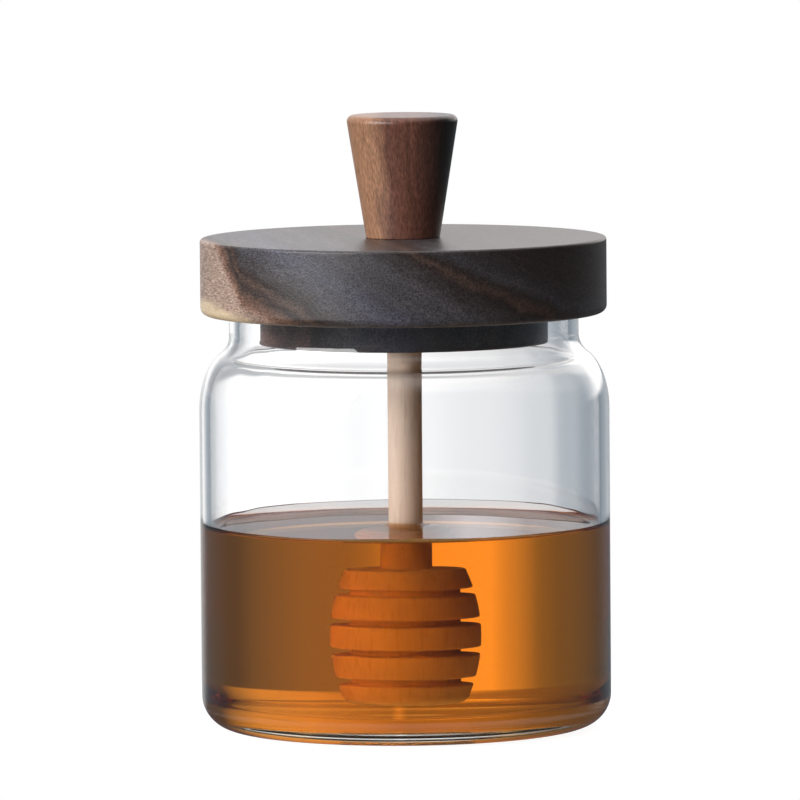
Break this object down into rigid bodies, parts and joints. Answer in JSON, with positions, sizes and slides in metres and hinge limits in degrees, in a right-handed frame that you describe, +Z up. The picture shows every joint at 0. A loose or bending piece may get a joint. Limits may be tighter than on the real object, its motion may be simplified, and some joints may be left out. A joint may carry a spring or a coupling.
{
  "type": "glass honey jar",
  "caption": "Clear glass honey jar with a thick turned wooden lid, a tapered wooden knob, and a grooved wooden dipper that hangs from the lid into the honey.",
  "frame": {"origin": "centre of the jar's flat underside, on the table", "axes": "+Z up along the axis that every piece is turned about, and -Y towards the picture's camera"},
  "size_m": [0.085, 0.085, 0.1271],
  "materials": {
    "blown_glass": "clear, polished",
    "honey": "clear amber, wet",
    "beech": "fine sanded, unvarnished",
    "acacia": "oiled, fine sanded",
    "acacia_knob": "oiled, smooth"
  },
  "bodies": {
    "root": {"jar": "blown_glass", "honey": "honey", "dipper": "beech", "lid": "acacia", "knob": "acacia_knob"}
  },
  "joints": []
}
